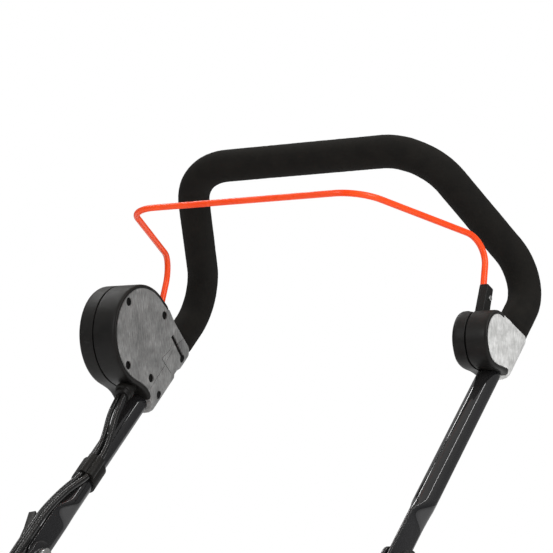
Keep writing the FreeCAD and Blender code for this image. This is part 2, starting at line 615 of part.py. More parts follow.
def cable_routes():
    """Points of each lead in the handle frame, from the switch box to below the fold and on to the hood."""
    gland_y, gland_z = HOOD_GLAND_Y.value, HOOD_GLAND_Z.value
    hood_x = d.hood_gland_x.value
    front = d.flat_wide / 2 + d.lead_od / 2 + d.lead_gap
    drop = FOLD - (d.flat_run - d.neck_run - FOLD_GAP)
    lead_x, wire_x = HALF + 0.8, HALF + 7.4
    (lead_in, lead_y), (wire_in, wire_y) = LEAD_HIGH
    lead_upper = [(GLAND_X - 3.6, GLAND_Y, GLAND_FACE), (GLAND_X - 5, GLAND_Y - 4.5, up(186)),
                  (HALF + lead_in - 0.3, lead_y + 1.4, up(150)), (HALF + lead_in + 0.1, lead_y, up(108)),
                  (HALF - 5.6, front - 2, up(78)), (lead_x, front, up(47)), (lead_x, front + 0.8, up(2)),
                  (lead_x, front, drop)]
    wire_upper = [(GLAND_X + 3.6, GLAND_Y, GLAND_FACE), (GLAND_X + 2.5, GLAND_Y - 2.5, up(188)),
                  (HALF + wire_in - 0.2, wire_y + 1, up(152)), (HALF + wire_in, wire_y, up(106)),
                  (HALF + 1.4, front - 1.2, up(76)), (wire_x, front, up(45)), (wire_x, front + 0.8, up(2)),
                  (wire_x, front, drop)]
    (lead_in, lead_y), (wire_in, wire_y) = LEAD_LOW
    lead_lower = [(lead_x, front, drop), (lead_x, front - 0.5, drop - 30),
                  (INNER_X + lead_in + 0.2, lead_y + 0.3, drop - 84), (INNER_X + lead_in, lead_y, 318),
                  (INNER_X + lead_in, lead_y + 0.2, 230),
                  (INNER_X - 6, TUBE_R + 6, 158), (INNER_X - 32, TUBE_R + 10, 98),
                  in_handle_frame(hood_x + 26, gland_y - 62, gland_z + 16),
                  in_handle_frame(hood_x - 2, gland_y - 32, gland_z + 1),
                  in_handle_frame(hood_x - 3.6, gland_y, gland_z)]
    wire_lower = [(wire_x, front, drop), (wire_x, front - 0.5, drop - 30),
                  (INNER_X + wire_in + 0.2, wire_y + 0.2, drop - 88), (INNER_X + wire_in, wire_y, 316),
                  (INNER_X + wire_in, wire_y + 0.2, 226),
                  (INNER_X + 1, TUBE_R + 6, 152), (INNER_X - 22, TUBE_R + 16, 96),
                  in_handle_frame(hood_x + 34, gland_y - 62, gland_z + 28),
                  in_handle_frame(hood_x + 7, gland_y - 34, gland_z + 4),
                  in_handle_frame(hood_x + 4, gland_y, gland_z)]
    return {"motor_lead_upper": (lead_upper, d.lead_od), "signal_lead_upper": (wire_upper, d.wire_od),
            "motor_lead_lower": (lead_lower, d.lead_od), "signal_lead_lower": (wire_lower, d.wire_od)}


def clip(name, x, z, leads, spots):
    """Two-lobed band round the tube and both leads."""
    pieces = [rod((x, 0, z), "z", TUBE_R + d.clip_wall, d.clip_long)]
    pieces += [rod((x + lead_in, lead_y, z), "z", d.lead_od / 2 + d.clip_wall - 0.5, d.clip_long)
               for lead_in, lead_y in spots]
    keep(name, cut(fuse(*pieces), rod((x, 0, z), "z", TUBE_R + 0.02, d.clip_long), *leads), True)


def cables():
    tubes_of = {}
    for name, (points, across_size) in cable_routes().items():
        radii = cord_radii(points)
        print(name, "arc radii", " ".join("%.0f" % radius for radius in radii))
        tubes_of[name] = tube(points, radii, across_size / 2)
        keep(name, tubes_of[name], True)
    places = (("upper", HALF, up(d.clip_z), LEAD_HIGH), ("lower", INNER_X, d.low_clip_z, LEAD_LOW))
    for name, x, z, spots in places:
        leads = [tubes_of["motor_lead_" + name], tubes_of["signal_lead_" + name]]
        clip("cable_clip_" + name, x, z, leads, spots)


# Deck


def deck_outline(inset):
    """Rounded plan of the deck: a broad front, tighter rear corners; counterclockwise in (x, y)."""
    half, front, rear = d.deck_half - inset, d.deck_front - inset, -d.deck_rear + inset
    wide, tight = d.deck_front_r - inset, d.deck_rear_r - inset
    return [(-half + tight, rear, None), (half - tight, rear, tight), (half, rear + tight, None),
            (half, front - wide, wide), (half - wide, front, None), (-half + wide, front, wide),
            (-half, front - wide, None), (-half, rear + tight, tight)]


FOOT_OUT = INNER_X - d.flat_thick / 2 - d.face_gap
WHEEL_IN = most(d.deck_half + d.wheel_gap, FOOT_OUT + d.foot_gap)
WHEEL_OUT = WHEEL_IN + d.wheel_wide
AXLES = [("front", d.front_axle_y, d.front_wheel_r), ("rear", -d.rear_axle_y, d.rear_wheel_r)]
AXLE_R = d.axle_od / 2


def through(radius, y, z, reach):
    return rod((-reach, y, z), "x", radius, 2 * reach)


MOTOR_SPOTS = [(side * d.motor_bolts, end * d.motor_bolts) for side in (-1, 1) for end in (-1, 1)]
FOOT_EDGE = least(FOOT_OUT, d.deck_half)
FOOT_SPOT = (FOOT_EDGE - d.bracket_foot + 13, -d.deck_rear + 45)
SCREW_SPOTS = MOTOR_SPOTS + [(side * FOOT_SPOT[0], FOOT_SPOT[1]) for side in (-1, 1)]


def screw_ways(spots, low, length):
    return [rod((x, y, low), "z", SCREW_R + d.screw_fit, length) for x, y in spots]


def deck():
    shell = slab("XY", deck_outline(0), d.deck_low, d.deck_top, rounded=d.deck_round)
    hollow = slab("XY", deck_outline(d.deck_wall), d.deck_low, d.deck_top - d.deck_wall,
                  rounded=d.deck_round - d.deck_wall)
    chute = box((-d.chute_half, -d.deck_rear - 1, d.chute_low),
                (2 * d.chute_half, d.deck_wall + 2, d.chute_high - d.chute_low))
    roof = d.deck_top - d.deck_wall - 1
    shaft_way = rod((0, 0, roof), "z", d.spindle_od / 2 + d.spindle_gap, d.deck_wall + 2)
    axle_ways = [through(AXLE_R + 0.02, y, r, d.deck_half + 1) for _, y, r in AXLES]
    ways = screw_ways(SCREW_SPOTS, roof, d.deck_wall + 2)
    keep("deck_shell", cut(shell, hollow, chute, shaft_way, *axle_ways, *ways))
    blocks = []
    for word, y, r in AXLES:
        reach = WHEEL_OUT + 6
        keep(word + "_axle", through(AXLE_R, y, r, reach))
        half = AXLE_R + 8
        blocks += [cut(block(side, d.deck_half, WHEEL_IN - 0.6, y - half, y + half, r - half, r + half),
                       through(AXLE_R, y, r, reach)) for side in (-1, 1)]
    keep("axle_blocks", group(blocks))


def deck_bolt(x, y):
    return fuse(rod((x, y, d.deck_top - 10), "z", SCREW_R, 14),
                rod((x, y, d.deck_top + d.bracket_plate), "z", d.screw_od, 4))


def handle_brackets():
    """An upright plate with a foot on the deck for each lower tube, bolted twice through the tube's end."""
    plates, bolts = [], []
    y, top, high = -d.foot_setback, d.deck_top, d.foot_height
    side_view = [(y - 50, top, None), (y + 36, top, None), (y + 18, high + 16, None),
                 (y - 30, high + 36, None), (y - 42, high + 24, None)]
    thick, bolt_r = d.bracket_plate, d.bolt_od / 2
    nut_in, nut_out, nut_r = FOOT_OUT - 10, FOOT_OUT - thick - 0.1, 6.5
    outer = INNER_X + d.flat_thick / 2
    heights = (sized(0), d.foot_pitch)
    for side in (-1, 1):
        foot = block(side, FOOT_EDGE - d.bracket_foot, FOOT_OUT, y - 12, y + 34, top, top + thick)
        ways = [across(side, (0, z), bolt_r, nut_in - 2, FOOT_OUT + 2) for z in heights]
        holes = screw_ways([(side * FOOT_SPOT[0], FOOT_SPOT[1])], top - 1, thick + 2)
        plate = fuse(layer(side, side_view, FOOT_OUT - thick, FOOT_OUT), foot)
        plates.append(cut(plate, in_place(group(ways)), *holes))
        for z in heights:
            bolts.append(fuse(across(side, (0, z), bolt_r, nut_in, outer),
                              across(side, (0, z), nut_r, outer, outer + 2.6)))
            bolts.append(cut(across(side, (0, z), nut_r, nut_in, nut_out),
                             across(side, (0, z), bolt_r, nut_in - 1, nut_out + 1)))
    keep("handle_brackets", group(plates))
    keep("foot_bolts", group(bolts), True)


FLAP_ROD_R = 3
FLAP_DEEP = 58


def rear_flap():
    """Discharge flap hung on a rod between two ears."""
    y, z = -d.deck_rear - 9, d.chute_high + 8
    leaf_half = d.chute_half + 4
    keep("flap_rod", through(FLAP_ROD_R, y, z, d.chute_half + 14))
    ears = [cut(block(side, d.chute_half + 6, d.chute_half + 12, y - 7, -d.deck_rear, z - 7, z + 7),
                through(FLAP_ROD_R, y, z, d.deck_half)) for side in (-1, 1)]
    keep("flap_ears", group(ears))
    leaf = fuse(box((-leaf_half, y - 2, z - FLAP_DEEP), (2 * leaf_half, 4, FLAP_DEEP)),
                through(FLAP_ROD_R + 4, y, z, leaf_half))
    keep("rear_flap", cut(leaf, through(FLAP_ROD_R + d.pin_fit, y, z, d.deck_half)))


# Hood, motor and blade


def hood_outline(inset):
    half, corner = d.hood_half - inset, d.hood_corner - inset
    front, rear = d.hood_front - inset, -d.hood_rear + inset
    return [(-half + corner, rear, None), (half - corner, rear, corner), (half, rear + corner, None),
            (half, front - corner, corner), (half - corner, front, None), (-half + corner, front, corner),
            (-half, front - corner, None), (-half, rear + corner, corner)]


VENT_COUNT = 6
VENT_FIRST = -50


def hood():
    low, top = d.deck_top + 0.1, d.deck_top + d.hood_high
    shell = slab("XY", hood_outline(0), low, top, d.hood_draft, d.hood_round)
    hollow = slab("XY", hood_outline(d.hood_wall), low, top - d.hood_wall, d.hood_draft,
                  d.hood_round - d.hood_wall)
    vents = [box((-d.hood_half - 1, VENT_FIRST + d.vent_pitch * number, d.deck_top + d.vent_high),
                 (2 * d.hood_half + 2, d.vent_wide, d.vent_high)) for number in range(VENT_COUNT)]
    x, y, z, r = d.hood_gland_x, HOOD_GLAND_Y, HOOD_GLAND_Z, d.hood_gland_r
    keep("motor_hood", cut(shell, hollow, *vents, rod((x, y, z), "y", r + 0.05, 60)))
    gland = fuse(rod((x, y, z), "y", r, 40), rod((x, y + 3, z), "y", r + 2, 5))
    keep("hood_gland", cut(gland, rod((x, y + 6, z), "y", r - 3, 40)))


CAN_WALL = 3


def drive():
    base, r, shaft = d.deck_top + d.bracket_plate + 0.1, d.motor_od / 2, d.spindle_od / 2
    plate = cut(rod((0, 0, d.deck_top), "z", r + 8, d.bracket_plate),
                rod((0, 0, d.deck_top - 1), "z", shaft + d.spindle_gap, d.bracket_plate + 2),
                *screw_ways(MOTOR_SPOTS, d.deck_top - 1, d.bracket_plate + 2))
    keep("motor_plate", plate)
    can = cut(rod((0, 0, base), "z", r, d.motor_high),
              rod((0, 0, base + CAN_WALL), "z", r - CAN_WALL, d.motor_high - 2 * CAN_WALL),
              rod((0, 0, base - 1), "z", shaft + d.spindle_fit, 6),
              *[rod((x, y, base - 1), "z", d.screw_od + 0.3, 6) for x, y in MOTOR_SPOTS])
    keep("motor_can", can)
    coil_low, coil_high = base + 14, d.motor_high - 34
    stator = cut(rod((0, 0, coil_low), "z", r - CAN_WALL, coil_high),
                 rod((0, 0, coil_low - 1), "z", r - 16, coil_high + 2))
    keep("motor_stator", stator)
    keep("motor_rotor", cut(rod((0, 0, coil_low), "z", r - 17, coil_high),
                            rod((0, 0, coil_low - 1), "z", shaft, coil_high + 2)))
    keep("deck_bolts", group([deck_bolt(x, y) for x, y in SCREW_SPOTS]))
    low = d.blade_z - 10
    keep("spindle", rod((0, 0, low), "z", shaft, base + d.motor_high - 2 * CAN_WALL - low))
    hub_low = d.blade_z + d.blade_thick
    keep("blade_hub", cut(cone((0, 0, hub_low), "z", 26, 14, 34), rod((0, 0, hub_low - 1), "z", shaft, 36)))
    reach, half = d.blade_reach, d.blade_wide / 2
    plan = [(-reach, -half, None), (reach - 26, -half, None), (reach, -half + 12, None), (reach, half, None),
            (-reach + 26, half, None), (-reach, half - 12, None)]
    lifts = [box((side * (reach - 24) - d.lift_long / 2, -half if side > 0 else half - d.lift_wide,
                  d.blade_z), (d.lift_long, d.lift_wide, d.lift_high)) for side in (-1, 1)]
    keep("blade", cut(fuse(slab("XY", plan, d.blade_z, hub_low), *lifts), rod((0, 0, low), "z", shaft, 40)))
    keep("blade_nut", cut(rod((0, 0, low + 1), "z", 12, 9), rod((0, 0, low), "z", shaft, 12)))


# Wheels


def wheels():
    nuts = []
    near, far = WHEEL_IN, WHEEL_OUT
    middle = near + d.wheel_wide / 2
    for end, y, r in AXLES:
        for side, word in ((-1, "left"), (1, "right")):
            spot, name = (y, r), end + "_" + word
            bead = r - d.tyre_deep
            tyre = cut(across(side, spot, r, near, far), across(side, spot, bead, near - 1, far + 1))
            keep(name + "_tyre", tyre)
            barrel = cut(across(side, spot, bead, near, far),
                         across(side, spot, bead - d.rim_wall, near - 1, far + 1))
            web = across(side, spot, bead - 1, middle - 2, middle + 2)
            hub = across(side, spot, d.hub_od / 2, near, far - 4)
            bore = across(side, spot, AXLE_R + d.pin_fit, near - 1, far + 1)
            keep(name + "_rim", cut(fuse(barrel, web, hub), bore))
            nuts.append(cut(across(side, spot, 10, far - 3.5, far + 3),
                            across(side, spot, AXLE_R, far - 4, far + 4)))
    keep("axle_nuts", group(nuts))


tubes()
switch_box()
pivot_box()
keep("box_screws", group(BOX_SCREW_PIECES), True)
keep("bail_rod", bail_tube(), True)
fold_joint()
cables()
deck()
handle_brackets()
rear_flap()
hood()
drive()
wheels()

doc.recompute()
failed = [item.Label for item in doc.Objects if {"Invalid", "Error"} & set(item.State)]
failed += [item.Label for item in MADE if item.Shape.isNull() or not item.Shape.isValid()]
if failed:
    raise SystemExit("failed: " + ", ".join(failed))
os.makedirs("parts", exist_ok=True)
for item in MADE:
    item.Shape.exportStep("parts/%s.step" % item.Label)
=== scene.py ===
import json
import math
import bmesh
import bpy
from mathutils import Matrix, Quaternion, Vector, noise


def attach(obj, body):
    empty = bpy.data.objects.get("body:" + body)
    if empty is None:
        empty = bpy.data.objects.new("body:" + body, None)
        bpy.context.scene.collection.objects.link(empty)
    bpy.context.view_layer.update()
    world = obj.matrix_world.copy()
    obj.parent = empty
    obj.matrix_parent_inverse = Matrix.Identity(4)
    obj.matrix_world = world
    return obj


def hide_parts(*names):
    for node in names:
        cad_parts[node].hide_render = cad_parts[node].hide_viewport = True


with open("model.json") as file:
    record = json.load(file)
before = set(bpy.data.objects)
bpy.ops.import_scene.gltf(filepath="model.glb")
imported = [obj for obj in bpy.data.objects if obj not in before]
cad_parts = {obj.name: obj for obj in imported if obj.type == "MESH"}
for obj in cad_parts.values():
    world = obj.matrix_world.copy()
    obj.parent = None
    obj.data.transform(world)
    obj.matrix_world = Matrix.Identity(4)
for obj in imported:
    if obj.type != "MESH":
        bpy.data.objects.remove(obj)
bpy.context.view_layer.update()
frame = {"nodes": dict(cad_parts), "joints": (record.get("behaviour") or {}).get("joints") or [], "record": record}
cadNodes = frame["nodes"]
joints = {joint["name"]: joint for joint in frame["joints"]}
scene = bpy.context.scene
mm = 0.001

# The handle has a frame of its own: x across, y square to the tubes towards the front, z up the tubes.
foldSpot = Vector(joints["handle_fold"]["pos_m"])
squareDir = Vector(joints["cam_right_open"]["axis"]).normalized()
tubeDir = Vector((1, 0, 0)).cross(squareDir)
handleAxes = Matrix((Vector((1, 0, 0)), squareDir, tubeDir)).transposed()
handleFrame = Matrix.Translation(foldSpot) @ handleAxes.to_4x4()


def onHandle(x, y, z):
    # a place in the handle's frame, given in millimetres
    return handleFrame @ (Vector((x, y, z)) * mm)


def placed(name, data):
    # an object that holds this data, linked into the scene
    holder = bpy.data.objects.new(name, data)
    scene.collection.objects.link(holder)
    return holder


def lookAlong(holder, way):
    holder.rotation_mode = "QUATERNION"
    holder.rotation_quaternion = way.to_track_quat("-Z", "Y")


print("stage: camera and studio")

# Degrees and metres; the lens, the sensor and the height of the grip's corners are in millimetres. The camera
# aims beside the point of the handle's middle plane that lies as high as those corners.
cameraView = {"azimuth": 31.39, "elevation": -5.49, "distance": 2.3282, "lens": 140.5, "sensor": 36,
              "clip": (0.05, 60), "aimRight": -0.0938, "aimUp": 0.0158, "gripCorner": 415}


def makeCamera():
    azimuth, elevation = (math.radians(cameraView[key]) for key in ("azimuth", "elevation"))
    back = Vector((-math.sin(azimuth) * math.cos(elevation), math.cos(azimuth) * math.cos(elevation),
                   math.sin(elevation)))
    right = (-back).cross(Vector((0, 0, 1))).normalized()
    up = right.cross(-back)
    aim = onHandle(0, 0, cameraView["gripCorner"])
    aim += right * cameraView["aimRight"] + up * cameraView["aimUp"]
    data = bpy.data.cameras.new("view")
    data.lens, data.sensor_width = cameraView["lens"], cameraView["sensor"]
    data.clip_start, data.clip_end = cameraView["clip"]
    camera = placed("view", data)
    camera.location = aim + back * cameraView["distance"]
    lookAlong(camera, -back)
    scene.camera = camera


studio = {
    # the sky is plain white to the camera; the light it gives runs from low to high with height
    "sky": (1.0, 1.0, 1.0, 1), "skyFrom": -0.3, "skyLow": 0.14, "skyHigh": 0.56,
    "floorSize": 12.0, "floorTone": (0.90, 0.90, 0.90, 1), "floorRough": 0.9, "floorGlow": 0.22,
    # each light: place, aim, size across, size up, watts
    "lights": {
        "keyBox": ((-2.6, -0.1, 2.1), (0, -0.8, 0.8), 0.4, 1.8, 46),
        "frontBox": ((0.9, 2.6, 2.2), (0, -0.7, 0.8), 0.22, 2.0, 38),
        "leftStrip": ((1.56, -1.06, 2.85), (0, -0.8, 0.8), 2.4, 0.10, 15),
        "rightStrip": ((-1.56, -1.06, 2.85), (0, -0.8, 0.8), 2.4, 0.08, 9),
    },
}


def makeSky():
    world = bpy.data.worlds.new("studio")
    scene.world = world
    world.use_nodes = True
    tree = world.node_tree
    seen = tree.nodes["Background"]
    seen.inputs["Color"].default_value = studio["sky"]
    given = tree.nodes.new("ShaderNodeBackground")
    given.inputs["Color"].default_value = studio["sky"]
    split = tree.nodes.new("ShaderNodeSeparateXYZ")
    tree.links.new(tree.nodes.new("ShaderNodeTexCoord").outputs["Generated"], split.inputs[0])
    height = tree.nodes.new("ShaderNodeMapRange")
    tree.links.new(split.outputs["Z"], height.inputs["Value"])
    height.inputs["From Min"].default_value = studio["skyFrom"]
    height.inputs["To Min"].default_value = studio["skyLow"]
    height.inputs["To Max"].default_value = studio["skyHigh"]
    tree.links.new(height.outputs["Result"], given.inputs["Strength"])
    choose = tree.nodes.new("ShaderNodeMixShader")
    tree.links.new(tree.nodes.new("ShaderNodeLightPath").outputs["Is Camera Ray"], choose.inputs[0])
    tree.links.new(given.outputs[0], choose.inputs[1])
    tree.links.new(seen.outputs[0], choose.inputs[2])
    tree.links.new(choose.outputs[0], tree.nodes["World Output"].inputs["Surface"])


def makeStudio():
    scene.view_settings.view_transform = "Standard"
    half = studio["floorSize"] / 2
    mesh = bpy.data.meshes.new("floor")
    corners = [(-half, -half, 0), (half, -half, 0), (half, half, 0), (-half, half, 0)]
    mesh.from_pydata(corners, [], [(0, 1, 2, 3)])
    floor = placed("floor", mesh)
    paper = bpy.data.materials.new("paper")
    paper.use_nodes = True
    shader = paper.node_tree.nodes["Principled BSDF"]
    shader.inputs["Base Color"].default_value = studio["floorTone"]
    shader.inputs["Roughness"].default_value = studio["floorRough"]
    shader.inputs["Emission Color"].default_value = studio["sky"]
    shader.inputs["Emission Strength"].default_value = studio["floorGlow"]
    floor.data.materials.append(paper)
    for name, (place, aim, wide, tall, watts) in studio["lights"].items():
        data = bpy.data.lights.new(name, "AREA")
        data.shape, data.size, data.size_y, data.energy = "RECTANGLE", wide, tall, watts
        light = placed(name, data)
        light.location = place
        lookAlong(light, Vector(aim) - Vector(place))


makeCamera()
makeSky()
makeStudio()

print("stage: surface effects")


def newGroup(name, inputs, outputs):
    group = bpy.data.node_groups.new(name, "ShaderNodeTree")
    for label, kind, value in inputs:
        socket = group.interface.new_socket(name=label, in_out="INPUT", socket_type=kind)
        if value is not None:
            socket.default_value = value
    for label, kind in outputs:
        group.interface.new_socket(name=label, in_out="OUTPUT", socket_type=kind)
    return group, group.nodes.new("NodeGroupInput"), group.nodes.new("NodeGroupOutput")


def addNode(tree, kind, settings=None, sockets=None):
    node = tree.nodes.new(kind)
    for key, value in (settings or {}).items():
        setattr(node, key, value)
    for key, value in (sockets or {}).items():
        if isinstance(value, bpy.types.NodeSocket):
            tree.links.new(value, node.inputs[key])
        else:
            node.inputs[key].default_value = value
    return node


def cloud(tree, place, scale, look):
    # noise at these places, from nought to one
    return addNode(tree, "ShaderNodeTexNoise", None,
                   {"Vector": place, "Scale": scale, "Detail": look["detail"],
                    "Roughness": look["roughness"]}).outputs["Fac"]


def stretched(tree, value, window, low=0.0, high=1.0):
    # the window of the value spread out from low to high
    return addNode(tree, "ShaderNodeMapRange", None,
                   {"Value": value, "From Min": window[0], "From Max": window[1], "To Min": low,
                    "To Max": high}).outputs["Result"]


def combined(tree, operation, first, second, clamp=False):
    return addNode(tree, "ShaderNodeMath", {"operation": operation, "use_clamp": clamp},
                   {0: first, 1: second}).outputs[0]


def scaledPlace(tree, place, scale):
    return addNode(tree, "ShaderNodeVectorMath", {"operation": "MULTIPLY"},
                   {0: place, 1: scale}).outputs["Vector"]


floatSocket = "NodeSocketFloat"
wholeWindow = (0.0, 1.0)

# noise settings of each effect; "window" is the part of the noise that becomes nought to one
effects = {
    "grain": {"detail": 3.0, "roughness": 0.6},
    "patch": {"detail": 4.0, "roughness": 0.65, "window": (0.35, 0.68)},
    "streak": {"detail": 2.0, "roughness": 0.5, "window": (0.66, 0.72),
               "pulls": ((1.0, 14.0, 3.0), (9.0, 1.5, 12.0))},
    "breaks": {"detail": 1.0, "roughness": 0.5, "window": (0.5, 0.7), "scale": 14.0},
    "dust": {"detail": 5.0, "roughness": 0.7, "upward": (0.2, 1.0), "gain": 2},
    "brush": {"detail": 4.0, "roughness": 0.7, "window": (0.3, 0.7), "turn": (0.9, 0.0, 0.0),
              "scale": (200.0, 900.0, 110.0)},
}
bumpStrength = 0.6


def makeGrain():
    # fine moulded or sprayed grain: a height and a slow blotch
    group, inside, out = newGroup("grain", [("Fine", floatSocket, 900.0), ("Blotch", floatSocket, 25.0),
                                            ("Stretch", floatSocket, 1.0)],
                                  [("Height", floatSocket), ("Patch", floatSocket)])
    place = addNode(group, "ShaderNodeTexCoord").outputs["Object"]
    scale = addNode(group, "ShaderNodeCombineXYZ", None, {"X": inside.outputs["Stretch"], "Y": 1.0, "Z": 1.0})
    pulled = scaledPlace(group, place, scale.outputs["Vector"])
    fine = cloud(group, pulled, inside.outputs["Fine"], effects["grain"])
    slow = cloud(group, place, inside.outputs["Blotch"], effects["patch"])
    sharp = stretched(group, slow, effects["patch"]["window"])
    group.links.new(fine, out.inputs["Height"])
    group.links.new(sharp, out.inputs["Patch"])
    return group


def makeScuffs():
    # thin scratches in two directions, broken up by a slow mask
    group, inside, out = newGroup("scuffs", [("Scale", floatSocket, 60.0), ("Amount", floatSocket, 0.3)],
                                  [("Mask", floatSocket)])
    place = addNode(group, "ShaderNodeTexCoord").outputs["Object"]
    streak, breaks = effects["streak"], effects["breaks"]
    first, second = (stretched(group, cloud(group, scaledPlace(group, place, pull), inside.outputs["Scale"],
                                            streak), streak["window"]) for pull in streak["pulls"])
    lines = combined(group, "MAXIMUM", first, second)
    gate = stretched(group, cloud(group, place, breaks["scale"], breaks), breaks["window"])
    held = combined(group, "MULTIPLY", lines, gate)
    group.links.new(combined(group, "MULTIPLY", held, inside.outputs["Amount"]), out.inputs["Mask"])
    return group


def makeDust():
    # dust that settles on faces that look up, thicker in patches
    group, inside, out = newGroup("dust", [("Amount", floatSocket, 0.1), ("Scale", floatSocket, 30.0)],
                                  [("Mask", floatSocket)])
    normal = addNode(group, "ShaderNodeNewGeometry").outputs["Normal"]
    rise = addNode(group, "ShaderNodeSeparateXYZ", None, {0: normal}).outputs["Z"]
    upward = stretched(group, rise, effects["dust"]["upward"])
    place = addNode(group, "ShaderNodeTexCoord").outputs["Object"]
    lot = combined(group, "MULTIPLY", upward, cloud(group, place, inside.outputs["Scale"], effects["dust"]))
    group.links.new(combined(group, "MULTIPLY", lot, inside.outputs["Amount"], True), out.inputs["Mask"])
    return group


grainGroup, scuffGroup, dustGroup = makeGrain(), makeScuffs(), makeDust()

# One dictionary for each finish: colour and its darker or lighter patches, roughness low to high,
# grain size per metre and depth in millimetres, and how much scuffing and dust it carries.
finishes = {
    "blackCoat": {"tone": (0.006, 0.006, 0.007), "patch": (0.009, 0.009, 0.010), "rough": (0.05, 0.10),
                  "fine": 420, "depth": 0.004, "blotch": 22, "spec": 0.6, "scuff": 0.06, "dust": 0.03},
    "orangeCoat": {"tone": (0.92, 0.060, 0.004), "patch": (0.98, 0.082, 0.008), "rough": (0.24, 0.36),
                   "fine": 500, "depth": 0.03, "blotch": 40, "spec": 0.3, "scuff": 0.04, "dust": 0.0},
    "foamSkin": {"tone": (0.0075, 0.0070, 0.0062), "patch": (0.0125, 0.0115, 0.0100), "rough": (0.80, 0.95),
                 "fine": 1500, "depth": 0.20, "blotch": 60, "spec": 0.10, "scuff": 0.0, "dust": 0.02},
    "blackMould": {"tone": (0.0048, 0.0046, 0.0042), "patch": (0.0085, 0.0080, 0.0072), "rough": (0.36, 0.52),
                   "fine": 1800, "depth": 0.015, "blotch": 35, "spec": 0.17, "scuff": 0.08, "dust": 0.03},
    "greyFace": {"tone": (0.125, 0.125, 0.123), "patch": (0.225, 0.225, 0.220), "rough": (0.42, 0.62),
                 "fine": 2200, "depth": 0.05, "blotch": 38, "spec": 0.3, "brush": 0.5, "scuff": 0.08,
                 "dust": 0.02},
    "silverFace": {"tone": (0.42, 0.42, 0.41), "patch": (0.66, 0.66, 0.65), "rough": (0.35, 0.55),
                   "fine": 1600, "depth": 0.05, "blotch": 120, "spec": 0.4, "brush": 0.25, "scuff": 0.10,
                   "dust": 0.02},
    "orangeMould": {"tone": (0.80, 0.052, 0.004), "patch": (0.88, 0.068, 0.008), "rough": (0.24, 0.38),
                    "fine": 1200, "depth": 0.02, "blotch": 12, "spec": 0.45, "scuff": 0.08, "dust": 0.06},
    "cableSheath": {"tone": (0.006, 0.006, 0.006), "patch": (0.011, 0.011, 0.011), "rough": (0.12, 0.20),
                    "fine": 900, "depth": 0.004, "blotch": 50, "spec": 0.45, "scuff": 0.04, "dust": 0.04},
    "zincPlate": {"tone": (0.62, 0.62, 0.60), "patch": (0.50, 0.51, 0.52), "rough": (0.22, 0.42),
                  "metal": 1.0, "fine": 700, "depth": 0.03, "blotch": 90, "scuff": 0.15, "dust": 0.05},
    "blackOxide": {"tone": (0.003, 0.003, 0.003), "patch": (0.005, 0.005, 0.005), "rough": (0.50, 0.65),
                   "fine": 900, "depth": 0.01, "blotch": 90, "spec": 0.12, "scuff": 0.0, "dust": 0.0},
    "groundSteel": {"tone": (0.46, 0.46, 0.46), "patch": (0.36, 0.35, 0.34), "rough": (0.24, 0.44),
                    "metal": 1.0, "fine": 600, "depth": 0.04, "blotch": 40, "stretch": 0.05, "scuff": 0.2,
                    "dust": 0.05},
    "tyreRubber": {"tone": (0.009, 0.009, 0.009), "patch": (0.017, 0.016, 0.015), "rough": (0.62, 0.85),
                   "fine": 900, "depth": 0.10, "blotch": 30, "spec": 0.3, "scuff": 0.10, "dust": 0.12},
    "wheelMould": {"tone": (0.085, 0.085, 0.09), "patch": (0.11, 0.11, 0.115), "rough": (0.35, 0.5),
                   "fine": 1500, "depth": 0.04, "blotch": 30, "spec": 0.4, "scuff": 0.10, "dust": 0.08},
    "castAlloy": {"tone": (0.50, 0.51, 0.52), "patch": (0.42, 0.43, 0.44), "rough": (0.38, 0.55),
                  "metal": 1.0, "fine": 500, "depth": 0.08, "blotch": 30, "scuff": 0.1, "dust": 0.1},
    "brassPin": {"tone": (0.78, 0.58, 0.26), "patch": (0.68, 0.49, 0.20), "rough": (0.2, 0.35), "metal": 1.0,
                 "fine": 900, "depth": 0.02, "blotch": 90, "scuff": 0.1, "dust": 0.0},
    "windingCopper": {"tone": (0.55, 0.20, 0.07), "patch": (0.42, 0.14, 0.05), "rough": (0.3, 0.45),
                      "metal": 0.7, "fine": 800, "depth": 0.2, "blotch": 60, "scuff": 0.0, "dust": 0.1},
    "deckCoat": {"tone": (0.76, 0.046, 0.004), "patch": (0.84, 0.060, 0.007), "rough": (0.24, 0.40),
                 "fine": 260, "depth": 0.06, "blotch": 10, "spec": 0.45, "scuff": 0.10, "dust": 0.08},
}
dustTone = (0.34, 0.31, 0.26, 1)
scuffTone = (0.22, 0.22, 0.22, 1)


def groupNode(tree, group, values):
    node = tree.nodes.new("ShaderNodeGroup")
    node.node_tree = group
    for key, value in values.items():
        node.inputs[key].default_value = value
    return node


def mixColours(tree, mask, first, second):
    return addNode(tree, "ShaderNodeMix", {"data_type": "RGBA"}, {0: mask, 6: first, 7: second}).outputs[2]


def brushed(tree, colour, amount):
    # short strokes along one slant, darker and lighter than the face they lie on
    brush = effects["brush"]
    place = addNode(tree, "ShaderNodeTexCoord").outputs["Object"]
    turned = addNode(tree, "ShaderNodeMapping", None,
                     {"Vector": place, "Rotation": brush["turn"], "Scale": brush["scale"]})
    strokes = cloud(tree, turned.outputs["Vector"], 1.0, brush)
    shade = stretched(tree, strokes, brush["window"], 1 - amount, 1 + amount)
    return addNode(tree, "ShaderNodeVectorMath", {"operation": "SCALE"},
                   {0: colour, 3: shade}).outputs["Vector"]


